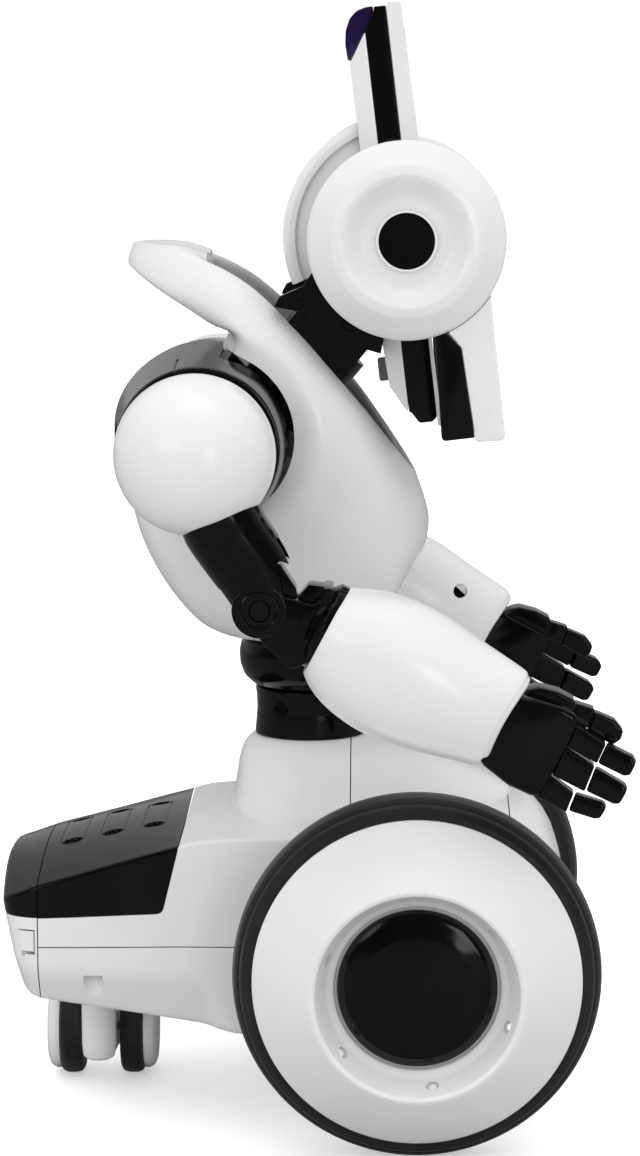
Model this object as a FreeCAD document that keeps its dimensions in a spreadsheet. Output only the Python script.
import FreeCAD, Part
import math
import os
import Sketcher
from FreeCAD import Placement, Rotation, Vector

# Wheeled humanoid toy robot: a base hull on two drive wheels and a rear caster, a bowl-shaped
# torso, two arms, and a flat-faced head on a leaning neck fork.
# Millimetres. Origin on the ground under the middle of the drive axle,
# +X forward, +Y the robot's left, +Z up.

os.makedirs("parts", exist_ok=True)
doc = FreeCAD.newDocument("wheeled_robot")
sheet = doc.addObject("Spreadsheet::Sheet", "Sizes")
aliases = []
pieces = []     # (object, label) of everything exported


# ======================= sheet ===========================================
def cell(alias, value):
    """Put one dimension in the sheet and return it."""
    aliases.append(alias)
    row = len(aliases)
    sheet.set(f"A{row}", alias)
    sheet.set(f"B{row}", repr(float(value)))
    sheet.setAlias(f"B{row}", alias)
    return float(value)


def record_table(prefix, rows):
    """List the sizes of a station table in the sheet, without their signs."""
    for i, row in enumerate(rows):
        for j, value in enumerate(row):
            cell(f"{prefix}_{i:02d}_{j}", abs(value))


# ---- driving dimensions ----
tyre_rad = cell("tyre_rad", 53.5)
axle_z = cell("axle_z", tyre_rad)           # the tyres stand on the ground
wheel_y = cell("wheel_y", 67.0)
axle_rad = cell("axle_rad", 2.5)
run_gap = cell("run_gap", 0.06)             # radial clearance of turning parts
wall = cell("wall", 2.4)
seam_z = cell("seam_z", 56.0)               # between lower and upper base shells
waist_x = cell("waist_x", -32.0)
waist_shaft = cell("waist_shaft", 8.0)
head_x = cell("head_x", -3.0)
head_z = cell("head_z", 264.3)
head_tilt = cell("head_tilt", 6.6)
ear_hub = cell("ear_hub", 7.0)
ball_x = cell("ball_x", -62.5)
ball_z = cell("ball_z", 206.0)
ball_rad = cell("ball_rad", 22.9)
arm_y = cell("arm_y", 80.0)
elbow_x = cell("elbow_x", -44.2)
elbow_z = cell("elbow_z", 163.2)
cuff_x = cell("cuff_x", -25.7)
cuff_z = cell("cuff_z", 157.3)
fore_angle = cell("fore_angle", 28.0)       # forearm below horizontal
neck_x = cell("neck_x", -31.0)
neck_z = cell("neck_z", 226.0)
neck_lean = cell("neck_lean", 40.0)         # forward from vertical
caster_x = cell("caster_x", -98.0)
caster_trail = cell("caster_trail", 20.0)   # caster axle offset along Y from its stem
caster_rad = cell("caster_rad", 15.0)
cell_rad = cell("cell_rad", 7.2)
cell_len = cell("cell_len", 50.0)
cell("board_thick", 1.6)

seam_gap = 0.12     # each shell stands back this far from a seam
BIG = 300.0         # beyond the robot in every direction
SIDES = (("right", -1), ("left", 1))
Y_AXIS = Vector(0, 1, 0)
Z_AXIS = Vector(0, 0, 1)
UPRIGHT = Rotation(Vector(1, 0, 0), 90)     # turns a body's Y axis to +Z


# ======================= document pieces =================================
def keep(obj, label):
    obj.Label = label
    pieces.append((obj, label))
    return obj


def feature(label, shape):
    obj = doc.addObject("Part::Feature", label + "_shape")
    obj.Shape = shape
    return keep(obj, label)


def polygon_sketch(body, name, points):
    """Closed polygon whose corners are all driven from sheet cells."""
    sketch = body.newObject("Sketcher::SketchObject", name)
    base = [f for f in body.Origin.OriginFeatures if f.Role == "XY_Plane"][0]
    sketch.AttachmentSupport = (base, "")
    sketch.MapMode = "FlatFace"
    count = len(points)
    for i in range(count):
        start, end = points[i], points[(i + 1) % count]
        sketch.addGeometry(Part.LineSegment(Vector(*start, 0), Vector(*end, 0)), False)
    for i in range(count):
        sketch.addConstraint(Sketcher.Constraint("Coincident", i, 2, (i + 1) % count, 1))
    for i, (x, y) in enumerate(points):
        for value, kind, axis, tag in ((x, "DistanceX", -2, "x"), (y, "DistanceY", -1, "y")):
            if abs(value) < 1e-9:
                sketch.addConstraint(Sketcher.Constraint("PointOnObject", i, 1, axis))
                continue
            alias = f"{name}_{tag}{i:02d}"
            size = cell(alias, abs(value))
            ends = (-1, 1, i, 1) if value > 0 else (i, 1, -1, 1)
            index = sketch.addConstraint(Sketcher.Constraint(kind, *ends, size))
            sketch.setExpression(f"Constraints[{index}]", f"Sizes.{alias}")
    return sketch


def turned_body(label, points, place):
    """Body revolved about its own Y axis from a polygon of (radius, height)."""
    body = doc.addObject("PartDesign::Body", label + "_body")
    sketch = polygon_sketch(body, label + "_sk", points)
    revolution = body.newObject("PartDesign::Revolution", label + "_rev")
    revolution.Profile = sketch
    revolution.ReferenceAxis = (sketch, ["V_Axis"])
    revolution.Angle = 360.0
    body.Tip = revolution
    body.Placement = place
    return body


def turned(label, points, place):
    return keep(turned_body(label, points, place), label)


def padded(label, points, length_alias, place):
    """Flat piece: polygon padded by a sheet length."""
    body = doc.addObject("PartDesign::Body", label + "_body")
    pad_sketch = polygon_sketch(body, label + "_sk", points)
    pad = body.newObject("PartDesign::Pad", label + "_pad")
    pad.Profile = pad_sketch
    pad.setExpression("Length", f"Sizes.{length_alias}")
    body.Tip = pad
    body.Placement = place
    return keep(body, label)


def mirrored(source, label):
    """Copy of a piece on the other side of the robot."""
    obj = doc.addObject("Part::Mirroring", label + "_mir")
    obj.Source = source
    obj.Normal = Y_AXIS
    obj.Base = Vector(0, 0, 0)
    return keep(obj, label)


def outboard(x, z, y, side):
    """Place a turned body at side * y with its height running outboard."""
    return Placement(Vector(x, side * y, z), Rotation(Z_AXIS, 0 if side > 0 else 180))


# ======================= shape helpers ===================================
def box(x0, x1, y0, y1, z0, z1):
    return Part.makeBox(x1 - x0, y1 - y0, z1 - z0, Vector(x0, y0, z0))


def slab(x0=-BIG, x1=BIG, z0=0, z1=BIG):
    """Block across the whole width, for splitting shells."""
    return box(x0, x1, -BIG, BIG, z0, z1)


def cylinder(start, end, radius):
    start, end = Vector(*start), Vector(*end)
    axis = end - start
    return Part.makeCylinder(radius, axis.Length, start, axis)


def x_cylinder(x0, x1, y, z, radius):
    return cylinder((x0, y, z), (x1, y, z), radius)


def y_cylinder(x, z, y0, y1, radius):
    return cylinder((x, y0, z), (x, y1, z), radius)


def z_cylinder(x, y, z0, z1, radius):
    return cylinder((x, y, z0), (x, y, z1), radius)


def leaning_frame(origin, angle):
    """Frame whose X axis points forward, tipped down by angle degrees."""
    return Placement(origin, Rotation(Y_AXIS, angle))


def box_in(frame, *limits):
    block = box(*limits)
    block.Placement = frame
    return block


def cylinder_in(frame, start, end, radius):
    return cylinder(frame.multVec(Vector(*start)), frame.multVec(Vector(*end)), radius)


def closed_wire(points):
    return Part.makePolygon(points + points[:1])


def prism_y(points, y0, y1):
    """Polygon of (x, z) pushed along Y."""
    wire = closed_wire([Vector(x, y0, z) for x, z in points])
    return Part.Face(wire).extrude(Vector(0, y1 - y0, 0))


def span(side, near, far):
    """Ascending Y limits of something between near and far on one side."""
    return sorted((side * near, side * far))


def ellipse_wire(x, z, half_length, half_width, tilt):
    """Smooth ellipse: length in X-Z, raised at the front by tilt degrees, width along Y."""
    angle = math.radians(tilt)
    along = Vector(math.cos(angle), 0, math.sin(angle))
    centre = Vector(x, 0, z)
    points = []
    for i in range(48):
        turn = 2 * math.pi * i / 48
        points.append(centre + along * (half_length * math.cos(turn))
                      + Y_AXIS * (half_width * math.sin(turn)))
    curve = Part.BSplineCurve()
    curve.interpolate(points, PeriodicFlag=True)
    return Part.Wire(curve.toShape())


def ellipse_loft(rows, inset):
    """Ruled solid through ellipses (x, z, half length, half width, tilt), drawn in by inset."""
    wires = [ellipse_wire(x, z, half_length - inset, half_width - inset, tilt)
             for x, z, half_length, half_width, tilt in rows]
    return Part.makeLoft(wires, True, True)


def one(shape):
    """The single largest solid of a boolean's result."""
    return max(shape.Solids, key=lambda solid: solid.Volume)


# ======================= base hull =======================================
# x, half width of flat top, top z, half width at crease, crease z,
# lower chamfer z, half width of bottom, bottom z
HULL = [
    (-127.0, 26.0, 74.2, 36.5, 69.5, 49.5, 33.0, 44.5),
    (-121.0, 29.0, 78.0, 42.8, 71.0, 49.0, 36.0, 42.3),
    (-112.0, 31.0, 81.2, 45.4, 73.8, 48.6, 38.0, 40.6),
    (-92.0, 32.0, 87.4, 45.8, 79.2, 47.6, 38.0, 37.5),
    (-71.0, 33.0, 92.6, 46.2, 84.8, 46.5, 38.0, 34.3),
    (-55.0, 33.0, 95.2, 46.5, 89.0, 45.5, 38.0, 31.7),
    (-30.0, 33.0, 96.0, 46.5, 91.0, 42.0, 38.0, 28.0),
    (18.0, 33.0, 97.0, 46.5, 91.0, 42.0, 38.0, 28.0),
    (29.0, 32.0, 95.8, 45.5, 89.0, 44.0, 37.0, 30.0),
    (37.0, 29.0, 90.5, 41.0, 83.0, 48.0, 33.0, 36.0),
    (41.8, 25.0, 82.5, 36.0, 76.0, 52.0, 28.0, 43.0),
    (44.2, 20.0, 74.0, 30.0, 69.5, 56.0, 23.0, 50.0)]
record_table("hull", HULL)

# raised bell on top of the hull: z, rear x, front x, half width
BELL = [
    (92.0, -55.6, 35.5, 43.0), (98.0, -55.2, 28.0, 41.0), (104.0, -54.2, 17.5, 35.5),
    (109.5, -52.6, 3.0, 28.0), (113.0, -50.4, -9.5, 21.0), (115.0, -48.4, -15.6, 16.4)]
record_table("bell", BELL)

cap_x = -112.0      # seam of the rear cap
cap_z = 66.0        # seam between the cap halves, and the tail cover's lower edge
nose_x = 28.0       # seam behind the nose
hood_x = -19.6      # seam between pedestal and hood
bell_base_z = 92.2
stem_rad = 3.0      # caster stem
screw_places = [(-22.0, 28.0), (12.0, 28.0), (-22.0, -28.0), (12.0, -28.0)]


def hull(inset):
    wires = []
    last = len(HULL) - 1
    for k, row in enumerate(HULL):
        x, top_half, top_z, crease_half, crease_z, chamfer_z, bottom_half, bottom_z = row
        if k == 0:
            x += inset
        if k == last:
            x -= inset
        left = [(bottom_half, bottom_z), (crease_half, chamfer_z),
                (crease_half, crease_z), (top_half, top_z)]
        mid_z = 0.5 * (top_z + bottom_z)
        ring = []
        for y, z in [(-y, z) for y, z in left] + left[::-1]:
            # crease corners near mid height move less than the full wall
            full = abs(z - mid_z) > 20 or z in (top_z, bottom_z)
            z_inset = inset if full else 0.55 * inset
            ring.append(Vector(x, y - math.copysign(inset, y),
                               z - math.copysign(z_inset, z - mid_z)))
        wires.append(closed_wire(ring))
    return Part.makeLoft(wires, True, True)


def bell(inset):
    rows = [(0.5 * (rear + front), z - inset, 0.5 * (front - rear), half_width, 0.0)
            for z, rear, front, half_width in BELL]
    return ellipse_loft(rows, inset)


hull_inner = hull(wall)
bell_outer = bell(0.0)
bell_inner = bell(wall)
hull_shell = hull(0.0).cut(hull_inner)
hull_shell = hull_shell.cut(y_cylinder(0, axle_z, -60, 60, axle_rad + 1.2))
hull_shell = hull_shell.cut(bell_inner.common(box(-60, 60, -60, 60, 85, 130)))

# lower shell: countersunk screw holes, switch slot and caster stem hole in its underside
lower = hull_shell.common(slab(x0=cap_x + seam_gap, z1=seam_z - seam_gap))
for x, y in screw_places:
    lower = lower.cut(z_cylinder(x, y, 20, 40, 1.7)).cut(z_cylinder(x, y, 20, 29.2, 3.2))
lower = lower.cut(box(-9.0, 5.0, -2.6, 2.6, 20, 40))
lower = lower.cut(z_cylinder(caster_x, 0, 20, 60, stem_rad + run_gap))
feature("base_lower_shell", one(lower))

# outline (x, z) of the tail cover, and the slightly larger opening that takes it
COVER = [(cap_x + seam_gap, cap_z), (-75.2, cap_z), (-70.6, 85.0), (-66.2, 98.0),
         (cap_x + seam_gap, 98.0)]
COVER_OPENING = [
    (cap_x - seam_gap, cap_z - seam_gap), (-75.1 + seam_gap, cap_z - seam_gap),
    (-70.5 + seam_gap, 85.0), (-66.1 + seam_gap, 98.0), (cap_x - seam_gap, 98.0)]

upper = hull_shell.common(slab(cap_x + seam_gap, nose_x - seam_gap, seam_z + seam_gap))
upper = upper.cut(prism_y(COVER_OPENING, -60, 60)).cut(bell_outer)
feature("base_upper_shell", one(upper))


def cover_rib(x, z):
    """Round-topped rib across the tail cover, z being the cover's height there."""
    rib = box(x - 3.1, x + 3.1, -25.0, 25.0, z - 2.5, z + 1.5)
    rib = rib.makeFillet(1.3, [e for e in rib.Edges if e.BoundBox.ZMin > z + 1.0])
    return rib.cut(hull_inner)


cover = one(hull_shell.common(prism_y(COVER, -60, 60)))
for x, z in ((-103.0, 84.4), (-91.0, 87.9), (-78.6, 91.0)):
    cover = cover.fuse(cover_rib(x, z))
feature("tail_cover", one(cover.removeSplitter()))

# rear cap in two halves, the lower one with two level slots
cap = hull_shell.common(slab(x1=cap_x - seam_gap))
feature("rear_cap_upper", one(cap.common(slab(z0=cap_z + seam_gap))))
cap_lower = cap.common(slab(z1=cap_z - seam_gap))
for z in (58.5, 51.5):
    cap_lower = cap_lower.cut(box(-135, -118, -26, 26, z - 0.9, z + 0.9))
feature("rear_cap_lower", one(cap_lower))

# bell, split into pedestal behind and hood ahead; its front end joins the nose
bell_shell = bell_outer.cut(bell_inner).cut(hull_inner)
bell_shell = bell_shell.cut(z_cylinder(waist_x, 0, 90, 130, waist_shaft + 0.6))
bell_top = bell_shell.common(slab(z0=bell_base_z))
feature("pedestal_shell", one(bell_top.common(slab(x1=hood_x - seam_gap))))
feature("hood_shell", one(bell_top.common(slab(hood_x + seam_gap, nose_x - seam_gap))))
nose = hull_shell.fuse(bell_shell).common(slab(x0=nose_x + seam_gap, z0=seam_z + seam_gap))
feature("nose_shell", one(nose))

# ======================= waist ===========================================
# (radius, z): fixed collar, and the turning ring with its shaft
COLLAR_PROFILE = [
    (waist_shaft + run_gap, 115.15), (16.9, 115.15), (16.4, 121.0), (16.7, 127.4),
    (waist_shaft + run_gap, 127.4)]
RING_PROFILE = [
    (0, 104.0), (waist_shaft, 104.0), (waist_shaft, 127.7), (16.8, 127.7), (20.6, 131.0),
    (21.6, 135.5), (21.4, 139.5), (20.3, 142.6), (0, 142.6)]
waist_place = Placement(Vector(waist_x, 0, 0), UPRIGHT)
turned("waist_collar", COLLAR_PROFILE, waist_place)
turned("waist_ring", RING_PROFILE, waist_place)

# ======================= inside the base =================================
# four cells side by side, lying along X
cell_rear_x = -110.5
cell_z = 62.0
cell_pitch = 15.2
feature("battery_cells", Part.makeCompound([
    x_cylinder(cell_rear_x, cell_rear_x + cell_len, (i - 1.5) * cell_pitch, cell_z, cell_rad)
    for i in range(4)]))


def gearbox(side):
    """Rounded box round the axle, with a motor cylinder behind it."""
    y0, y1 = span(side, 12.0, 40.0)
    mid_y = 0.5 * (y0 + y1)
    case = box(-14, 26, y0, y1, 44.5, 68.0)
    case = case.makeFillet(2.5, [e for e in case.Edges if abs(e.BoundBox.YLength) > 20])
    case = case.fuse(x_cylinder(-44, -13, mid_y, 56.0, 10.5))
    return one(case.cut(y_cylinder(0, axle_z, y0 - 1, y1 + 1, axle_rad + run_gap)))


feature("drive_gearboxes", Part.makeCompound([gearbox(side) for _, side in SIDES]))

padded("main_board", [(-26.0, -34.0), (20.0, -34.0), (20.0, 34.0), (-26.0, 34.0)],
       "board_thick", Placement(Vector(0, 0, 76.0), Rotation()))

# (radius, height) above the speaker's magnet
SPEAKER = [(0, 0), (9.0, 0), (9.0, 4.5), (14.0, 7.0), (14.0, 8.5), (0, 8.5)]
turned("speaker", SPEAKER, Placement(Vector(6, 0, 81.0), UPRIGHT))


def shell_screw(x, y):
    """Cross-slotted screw, head down."""
    screw = z_cylinder(x, y, 28.2, 29.15, 3.0).fuse(z_cylinder(x, y, 29.1, 38.5, 1.5))
    screw = screw.cut(box(x - 2.2, x + 2.2, y - 0.4, y + 0.4, 27.5, 28.7))
    return one(screw.cut(box(x - 0.4, x + 0.4, y - 2.2, y + 2.2, 27.5, 28.7)))


feature("shell_screws", Part.makeCompound([shell_screw(x, y) for x, y in screw_places]))

# slider with a flange above it and a groove across its lower face
switch = box(-8.0, -2.0, -2.5, 2.5, 27.0, 31.0).fuse(box(-8.6, -1.4, -4.0, 4.0, 30.9, 33.0))
feature("power_switch", one(switch.cut(box(-5.4, -4.6, -3, 3, 26.0, 27.6))))

# ======================= drive wheels ====================================
# (radius, distance outboard of the wheel's middle plane)
disc_bore = axle_rad + 0.02
disc_face = 15.2        # outer face of the disc's middle, and outer end of the axle
TYRE = [
    (46.6, -7.6), (49.5, -7.9), (51.6, -6.6), (53.0, -4.0), (tyre_rad, -1.0),
    (tyre_rad, 1.0), (53.1, 3.6), (52.2, 5.2), (51.6, 5.4), (51.3, 6.6), (49.4, 8.4),
    (47.6, 8.6), (46.6, 8.2)]
DISC = [
    (disc_bore, -6.0), (7.0, -6.0), (7.0, 10.0), (24.5, 12.6), (28.0, 22.0), (44.0, 7.0),
    (44.0, -7.4), (46.5, -7.4), (46.5, 8.3), (47.4, 8.8), (47.5, 10.2), (46.9, 10.9),
    (31.6, 26.0), (30.4, 26.9), (29.2, 26.8), (28.2, 25.6), (24.6, 16.2),
    (24.2, disc_face), (disc_bore, disc_face)]
HUB_CAP = [
    (0, 15.3), (23.2, 15.3), (23.6, 15.9), (23.4, 16.7), (22.2, 17.5), (18.0, 18.5),
    (12.0, 19.3), (6.0, 19.7), (0, 19.8)]
AXLE = [(0, -48.0), (axle_rad, -48.0), (axle_rad, disc_face), (0, disc_face)]

for side_name, side in SIDES:
    for name, profile in (("tyre", TYRE), ("wheel_disc", DISC),
                          ("hub_cap", HUB_CAP), ("drive_axle", AXLE)):
        turned(f"{name}_{side_name}", profile, outboard(0, axle_z, wheel_y, side))

# ======================= rear caster =====================================
caster_y = caster_trail
pin_rad = 1.5

# post with a flange, an arm out to the axle boss, and a headed stem into the base
post = z_cylinder(caster_x, 0, 9.8, 36.0, 5.2).fuse(z_cylinder(caster_x, 0, 33.4, 36.9, 6.3))
post = post.fuse(box(caster_x - 5.0, caster_x + 5.0, 0.0, caster_y, 10.4, 21.5))
post = post.fuse(x_cylinder(caster_x - 5.2, caster_x + 5.2, caster_y, caster_rad, 6.5))
post = post.fuse(z_cylinder(caster_x, 0, 36.0, 46.0, stem_rad))
post = post.fuse(z_cylinder(caster_x, 0, 43.5, 46.0, 5.0))
post = post.cut(x_cylinder(caster_x - 9, caster_x + 9, caster_y, caster_rad, pin_rad + 0.02))
feature("caster_post", one(post))
feature("caster_axle", x_cylinder(caster_x - 15.0, caster_x + 15.0, caster_y, caster_rad,
                                  pin_rad))

# (radius, distance from the post's middle plane along X)
CASTER_TYRE = [(9.0, 5.8), (13.7, 5.8), (caster_rad, 7.0), (caster_rad, 11.5),
               (13.9, 12.9), (9.0, 12.9)]
hub_bore = pin_rad + run_gap
CASTER_HUB = [
    (hub_bore, 5.9), (8.9, 5.9), (8.9, 13.0), (13.3, 13.1), (13.3, 14.2), (12.2, 16.0),
    (10.6, 16.8), (0, 17.0), (0, 15.4), (hub_bore, 15.4)]
for tag, side in (("a", -1), ("b", 1)):     # a behind the post, b ahead of it
    place = Placement(Vector(caster_x, caster_y, caster_rad), Rotation(Z_AXIS, -90 * side))
    turned(f"caster_tyre_{tag}", CASTER_TYRE, place)
    turned(f"caster_hub_{tag}", CASTER_HUB, place)

# ======================= torso ===========================================
# ellipses: centre x, centre z, half length, half width along Y, tilt
BOWL = [
    (-33.0, 142.8, 20.8, 20.0, 0.0), (-38.0, 152.0, 31.5, 28.0, -3.0),
    (-40.5, 165.0, 40.5, 34.5, -8.0), (-41.0, 180.0, 43.6, 38.0, -14.0),
    (-39.5, 196.0, 42.5, 39.0, -22.0), (-34.0, 210.0, 35.0, 38.0, -34.0)]
COLLAR = [BOWL[-1], (-39.0, 223.0, 47.5, 38.0, -39.0), (-42.0, 228.8, 54.6, 38.0, -39.8)]
record_table("torso", BOWL + COLLAR)

back_seam_x = -46.0
guard_x, guard_z = -60.5, 207.0     # axis of the round shoulder guards
shank_rad = 6.0                     # shaft of the shoulder ball


def bowl(inset):
    """Torso bowl, with its floor raised by the inset."""
    x, z, *ellipse = BOWL[0]
    return ellipse_loft([(x, z + inset, *ellipse)] + BOWL[1:], inset)


def collar_cavity():
    """Inside of the collar, its last ellipse carried 1 mm past the rim."""
    x, z, *ellipse = COLLAR[-1]
    return ellipse_loft(COLLAR[:-1] + [(x + 0.643, z + 0.766, *ellipse)], wall)


bowl_outer = bowl(0.0)
bowl_shell = bowl_outer.cut(bowl(wall))
collar_outer = ellipse_loft(COLLAR, 0.0)
collar_inner = collar_cavity()
shoulder_holes = y_cylinder(guard_x, guard_z, -70, -22, 25.1).fuse(
    y_cylinder(guard_x, guard_z, 22, 70, 25.1))

chest = bowl_shell.common(slab(x0=back_seam_x + seam_gap))
chest = chest.fuse(collar_outer.cut(collar_inner)).cut(shoulder_holes)
feature("chest_shell", one(chest))
back = bowl_shell.common(slab(x1=back_seam_x - seam_gap)).cut(shoulder_holes)
feature("back_shell", one(back.cut(collar_outer)))


def shoulder_guard(side):
    """Cup round the inboard side of a shoulder ball, with a wider rim at its upper back."""
    outer_y = side * 59.5
    rim = y_cylinder(-60.4, 211.0, side * 33.0, outer_y, 26.5)
    rim = one(rim.common(slab(x1=-56.0, z0=196.0)).cut(bowl_outer).cut(collar_outer))
    guard = y_cylinder(guard_x, guard_z, side * 31.0, outer_y, 24.8).fuse(rim)
    guard = guard.cut(Part.makeSphere(ball_rad + 0.5, Vector(ball_x, side * arm_y, ball_z)))
    guard = guard.cut(y_cylinder(guard_x, guard_z, side * 20, side * 49.5, 22.0))
    return one(guard.cut(y_cylinder(ball_x, ball_z, side * 20, side * 70,
                                    shank_rad + run_gap)))


feature("shoulder_guards", Part.makeCompound([shoulder_guard(side) for _, side in SIDES]))

# ======================= neck ============================================
# neck frame: X forward and down, Z up along the leaning neck
neck_frame = leaning_frame(Vector(neck_x, 0, neck_z), neck_lean)
pivot_rad = 6.0


def neck_cylinder(z0, z1, radius):
    """Cylinder on the neck's turning axis, 1 mm behind the frame's origin."""
    return cylinder_in(neck_frame, (-1, 0, z0), (-1, 0, z1), radius)


# seat inside the collar: disc and crossbar trimmed to the cavity, with a pivot on top
seat = neck_cylinder(-25, -19, 24.0).fuse(box_in(neck_frame, -7, 5, -34.6, 34.6, -25, -19))
seat = seat.common(bowl(wall + 0.15).fuse(collar_inner))
feature("neck_seat", one(seat.fuse(neck_cylinder(-19.5, -7, pivot_rad))))

# yoke: flange and column over the pivot, then a crossbar with an upright at each end
yoke = neck_cylinder(-18.8, -13, 19.0).fuse(neck_cylinder(-14, 9.0, 13.5))
yoke = yoke.cut(neck_cylinder(-25, -6.5, pivot_rad + run_gap))
yoke = yoke.fuse(box_in(neck_frame, -14, 9, -30.8, 30.8, 4.0, 9.4))
for side in (1, -1):
    yoke = yoke.fuse(box_in(neck_frame, -14, 9, *span(side, 26.4, 30.8), 9.0, 16.0))
feature("neck_yoke", one(yoke))

# cheek outline (x, z) and its screw places (x, z)
CHEEK = [
    (-41.5, 244.6), (-40.0, 247.6), (-33.3, 250.5), (-30.4, 254.6), (-20.0, 268.0),
    (-11.0, 275.5), (-3.0, 277.0), (5.0, 274.0), (9.0, 266.0), (7.0, 256.0), (-3.0, 245.0),
    (-9.6, 235.3), (-10.5, 231.0), (-15.9, 232.5), (-18.0, 231.5), (-22.0, 233.5),
    (-33.0, 243.0)]
CHEEK_SCREWS = ((-35.0, 246.5), (-19.0, 240.0))


def cheek(side):
    """Side plate of the fork, with a hole for the ear hub and two screw recesses."""
    y0, y1 = span(side, 31.0, 35.6)
    plate = prism_y(CHEEK, y0, y1)
    plate = plate.cut(y_cylinder(head_x, head_z, y0 - 1, y1 + 1, ear_hub + run_gap))
    for x, z in CHEEK_SCREWS:
        plate = plate.cut(y_cylinder(x, z, side * 34.0, side * 37.0, 2.6))
    return one(plate)


def cheek_screw(side, x, z):
    """Slotted screw head."""
    head = y_cylinder(x, z, side * 34.02, side * 35.2, 2.4)
    return head.cut(box(x - 2.0, x + 2.0, *span(side, 34.8, 36.0), z - 0.35, z + 0.35))


feature("neck_cheeks", Part.makeCompound([cheek(side) for _, side in SIDES]))
feature("neck_screws", Part.makeCompound(
    [cheek_screw(side, x, z) for _, side in SIDES for x, z in CHEEK_SCREWS]))

# ======================= head ============================================
# Outlines are (x, z) in the head's frame: origin on the ear axis, tilted back.
HEAD_MATRIX = leaning_frame(Vector(head_x, 0, head_z), -head_tilt).toMatrix()


def head_feature(label, shape):
    """Piece drawn in the head's frame."""
    return feature(label, shape.transformed(HEAD_MATRIX))


REAR_PLATE = [(-10.5, 52.0), (-10.5, -30.0), (-9.9, -43.0), (-4.7, -51.5), (-4.7, 60.6)]
WINDOW = [
    (-10.6, 52.3), (-12.0, 52.6), (-11.4, 58.8), (-9.2, 63.8), (-5.4, 66.6), (-2.0, 67.6),
    (-1.9, 66.4), (-4.75, 61.3)]
HOUSING = [
    (-4.6, 61.2), (-1.75, 66.2), (-1.7, 67.4), (1.7, 67.4), (1.7, -10.0), (2.9, -30.0),
    (2.9, -53.2), (1.5, -54.4), (-2.2, -54.4), (-4.1, -51.0), (-4.6, -51.0)]
FRAME = [
    (1.8, 67.4), (2.6, 68.4), (6.1, 67.9), (7.6, -8.0), (7.2, -14.0), (4.1, -16.0),
    (4.1, -56.0), (3.0, -55.6), (3.0, -29.5), (1.8, -9.5)]
SCREEN_RECESS = [(5.2, 61.0), (9.0, 61.0), (9.0, 2.0), (5.8, 2.0)]
SCREEN = [(5.3, 60.9), (6.35, 60.9), (7.0, 2.1), (5.9, 2.1)]

rear_plate = prism_y(REAR_PLATE, -29, 29).cut(box(-20, 0, -4.15, 4.15, -43.0, -36.0))
head_feature("head_rear_plate", one(rear_plate))
head_feature("sensor_window", prism_y(WINDOW, -24, 24))
head_feature("display_housing", prism_y(HOUSING, -28.2, 28.2))
face_frame = prism_y(FRAME, -29.4, 29.4).cut(prism_y(SCREEN_RECESS, -23.0, 23.0))
head_feature("face_frame", one(face_frame))
head_feature("face_screen", prism_y(SCREEN, -22.9, 22.9))

# button through the rear plate, rounded on its rear face
button = box(-12.9, -6.8, -4.0, 4.0, -42.8, -36.2)
button = button.makeFillet(1.0, [e for e in button.Edges if e.BoundBox.XMax < -12.0])
head_feature("release_button", button)

# part drum behind the plates: recessed ends and a hollow
drum = y_cylinder(0, 0, -25, 25, 36.2).cut(box(-10.62, 60, -60, 60, -60, 60))
drum = drum.cut(prism_y([(-60, -60), (-10.62, -60), (-10.62, -12.5), (-60, -9.5)], -60, 60))
for side in (-1, 1):
    drum = drum.cut(y_cylinder(0, 0, side * 23.2, side * 30, 32.2))
hollow = y_cylinder(0, 0, -21.2, 21.2, 33.8).cut(box(-10.5, 60, -60, 60, -60, 60))
hollow = hollow.cut(prism_y([(-60, -60), (-10.0, -60), (-10.0, -10.1), (-60, -7.1)], -60, 60))
drum = drum.cut(hollow.common(box(-40, -12.5, -60, 60, -60, 60)))
head_feature("head_back_drum", one(drum))

# ears (radius, outboard y): discs with a hub through the fork cheek, and plugs in them
EAR = [
    (0, 29.6), (ear_hub, 29.6), (ear_hub, 43.2), (27.6, 43.2), (28.6, 44.2), (28.6, 47.4),
    (28.0, 48.4), (21.8, 53.7), (20.8, 54.0), (19.8, 53.6), (14.2, 49.8), (13.0, 49.6),
    (9.4, 49.6), (9.3, 50.9), (8.7, 50.9), (8.7, 46.5), (0, 46.5)]
PLUG = [(0, 46.6), (8.6, 46.6), (8.6, 50.2), (7.6, 50.7), (0, 50.9)]
ear_plugs = []
for side_name, side in SIDES:
    place = outboard(head_x, head_z, 0, side)
    turned(f"ear_disc_{side_name}", EAR, place)
    ear_plugs.append(turned_body(f"ear_plug_{side_name}", PLUG, place))

# jaw: a U round the lower face, the guard ahead and the liner behind it
JAW_GUARD = [
    (13.3, -60.0), (21.7, -60.4), (21.4, -19.0), (20.0, 6.0), (12.0, 10.0), (9.0, 4.0),
    (9.0, -16.0), (12.9, -31.0)]
JAW_LINER = [(4.3, -58.7), (13.1, -58.7), (12.7, -31.3), (10.2, -22.0), (6.0, -22.0)]


def jaw(outline, inner_y, outer_y, bridge):
    """Two side plates joined across the bottom by the bridge."""
    left, right = [prism_y(outline, *span(side, inner_y, outer_y)) for side in (1, -1)]
    return one(left.fuse(right).fuse(bridge))


head_feature("jaw_guard", jaw(JAW_GUARD, 37.8, 42.9,
                              box(13.3, 21.6, -42.9, 42.9, -60.3, -54.5)))
head_feature("jaw_liner", jaw(JAW_LINER, 37.6, 42.7,
                              box(4.4, 13.1, -42.7, 42.7, -58.7, -56.4)))

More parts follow.
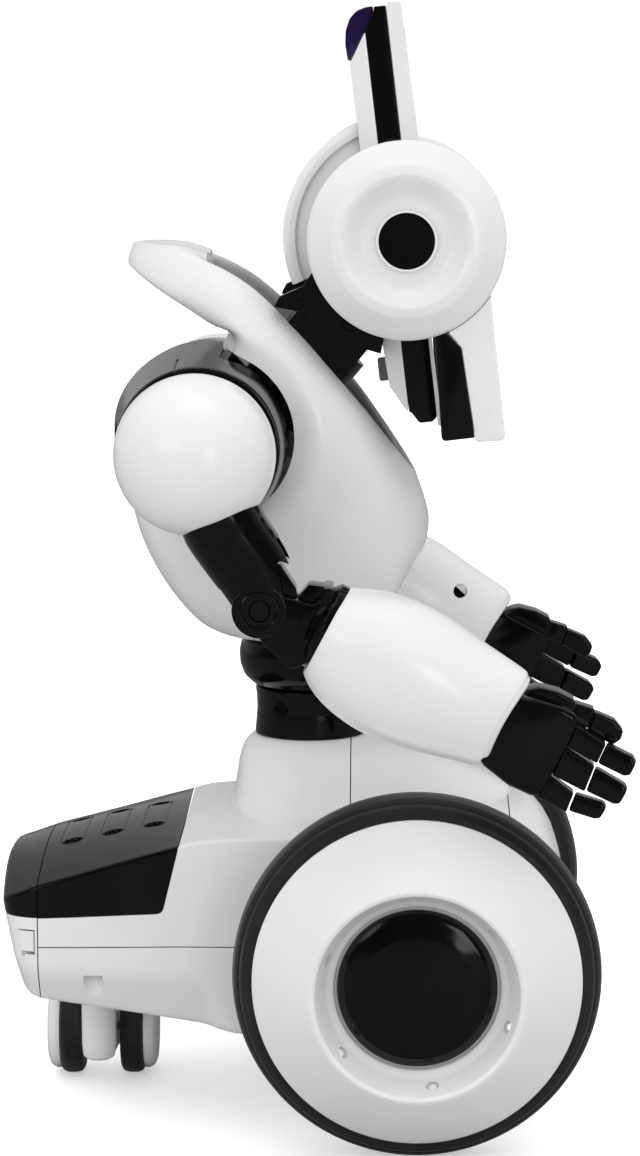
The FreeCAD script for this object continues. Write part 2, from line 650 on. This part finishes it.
# ======================= right arm =======================================
right_y = -arm_y
ball_centre = Vector(ball_x, right_y, ball_z)
elbow = Vector(elbow_x, right_y, elbow_z)
cuff = Vector(cuff_x, right_y, cuff_z)
fore_frame = leaning_frame(cuff, fore_angle)    # X along the forearm, Z square to it
elbow_pin_rad = 3.0
cuff_pin_rad = 5.0


def elbow_cylinder(half_width, radius):
    return y_cylinder(elbow_x, elbow_z, right_y - half_width, right_y + half_width, radius)


def fore_cylinder(x0, x1, radius):
    return cylinder_in(fore_frame, (x0, 0, 0), (x1, 0, 0), radius)


def spindle(rows):
    """Solid turned about the forearm's axis from (distance along, radius)."""
    outline = [(rows[0][0], 0)] + rows + [(rows[-1][0], 0)]
    wire = closed_wire([fore_frame.multVec(Vector(x, 0, z)) for x, z in outline])
    axis = fore_frame.Rotation.multVec(Vector(1, 0, 0))
    return Part.Face(wire).revolve(cuff, axis, 360)


def shoulder_ball():
    """Ball with a bored shaft running inboard."""
    ball = Part.makeSphere(ball_rad, ball_centre)
    ball = ball.fuse(y_cylinder(ball_x, ball_z, right_y, -36.0, shank_rad))
    return one(ball.cut(y_cylinder(ball_x, ball_z, right_y + 8, -30, 3.0)))


def upper_arm():
    """Taper from the ball down to a forked elbow."""
    axis = elbow - ball_centre
    arm = Part.makeCone(11.6, 8.4, axis.Length, ball_centre, axis)
    arm = arm.fuse(elbow_cylinder(9, 8.4))
    arm = arm.cut(Part.makeSphere(ball_rad + 0.05, ball_centre))
    arm = arm.cut(elbow_cylinder(4.6, 12.5))
    return one(arm.cut(elbow_cylinder(20, elbow_pin_rad + run_gap)))


def elbow_link():
    """Knuckle and pin, bar to the cuff disc, and a pin into the forearm."""
    bar_angle = math.degrees(math.atan2(elbow_z - cuff_z, cuff_x - elbow_x))
    link = elbow_cylinder(4.4, 7.8).fuse(elbow_cylinder(8.8, elbow_pin_rad))
    link = link.fuse(box_in(leaning_frame(elbow, bar_angle), 0, 18.0, -4.4, 4.4, -6.0, 6.0))
    link = link.fuse(fore_cylinder(-4.0, 3.2, 12.9))
    return one(link.fuse(fore_cylinder(3.0, 12.5, cuff_pin_rad)))


# (distance along the forearm, radius)
FOREARM = [(3.5, 13.0), (9.0, 16.6), (16.0, 19.2), (24.0, 20.0), (33.0, 19.0),
           (44.0, 16.4), (57.0, 13.6)]
FOREARM_CAVITY = [(7.5, 12.0), (9.5, 14.3), (16.0, 16.9), (24.0, 17.7), (33.0, 16.7),
                  (44.0, 14.1), (53.5, 11.6)]


def forearm():
    """Hollow spindle, open at both ends for the cuff pin and the wrist."""
    shell = spindle(FOREARM).cut(spindle(FOREARM_CAVITY))
    shell = shell.cut(fore_cylinder(2.0, 13.0, cuff_pin_rad + run_gap))
    return one(shell.cut(fore_cylinder(50.0, 60.0, 6.3)))


def hand():
    """Rounded palm, wrist, three outer fingers stacked in Z and an inboard thumb."""
    palm = box_in(fore_frame, 57.3, 77.5, -8.5, 8.5, -12.5, 13.0)
    palm = palm.makeFillet(3.0, palm.Edges)
    solid = palm.fuse(fore_cylinder(51.0, 58.5, 6.2))
    for z in (-11.8, -3.4, 5.0):
        solid = solid.fuse(box_in(fore_frame, 76.0, 97.0, -7.0, 1.5, z, z + 6.8))
    return one(solid.fuse(box_in(fore_frame, 70.0, 90.0, 2.5, 8.5, 5.5, 12.0)))


# ---- both arms: the left one mirrors the right ----
for name, build in (("shoulder_ball", shoulder_ball), ("upper_arm", upper_arm),
                    ("elbow_link", elbow_link), ("forearm_shell", forearm), ("hand", hand)):
    mirrored(feature(name + "_right", build()), name + "_left")

# ======================= check and write =================================
doc.recompute()     # the plug bodies need their shapes before they are joined
feature("ear_plugs", Part.makeCompound([body.Shape for body in ear_plugs]))
doc.recompute()

faults = [f"{obj.Name} {obj.State}" for obj in doc.Objects
          if "Invalid" in obj.State or "Error" in obj.State]
labels = set()
for obj, label in pieces:
    shape = obj.Shape
    if shape.isNull() or not shape.isValid() or not shape.Solids:
        faults.append(f"{label} has no sound shape")
    elif shape.Volume <= 0:
        faults.append(f"{label} has no volume")
    if label in labels:
        faults.append(f"{label} twice")
    labels.add(label)
if faults:
    raise SystemExit("\n".join(faults))

for obj, label in pieces:
    shape = obj.Shape
    if len(shape.Solids) == 1:
        shape = shape.Solids[0]
    shape.exportStep(f"parts/{label}.step")
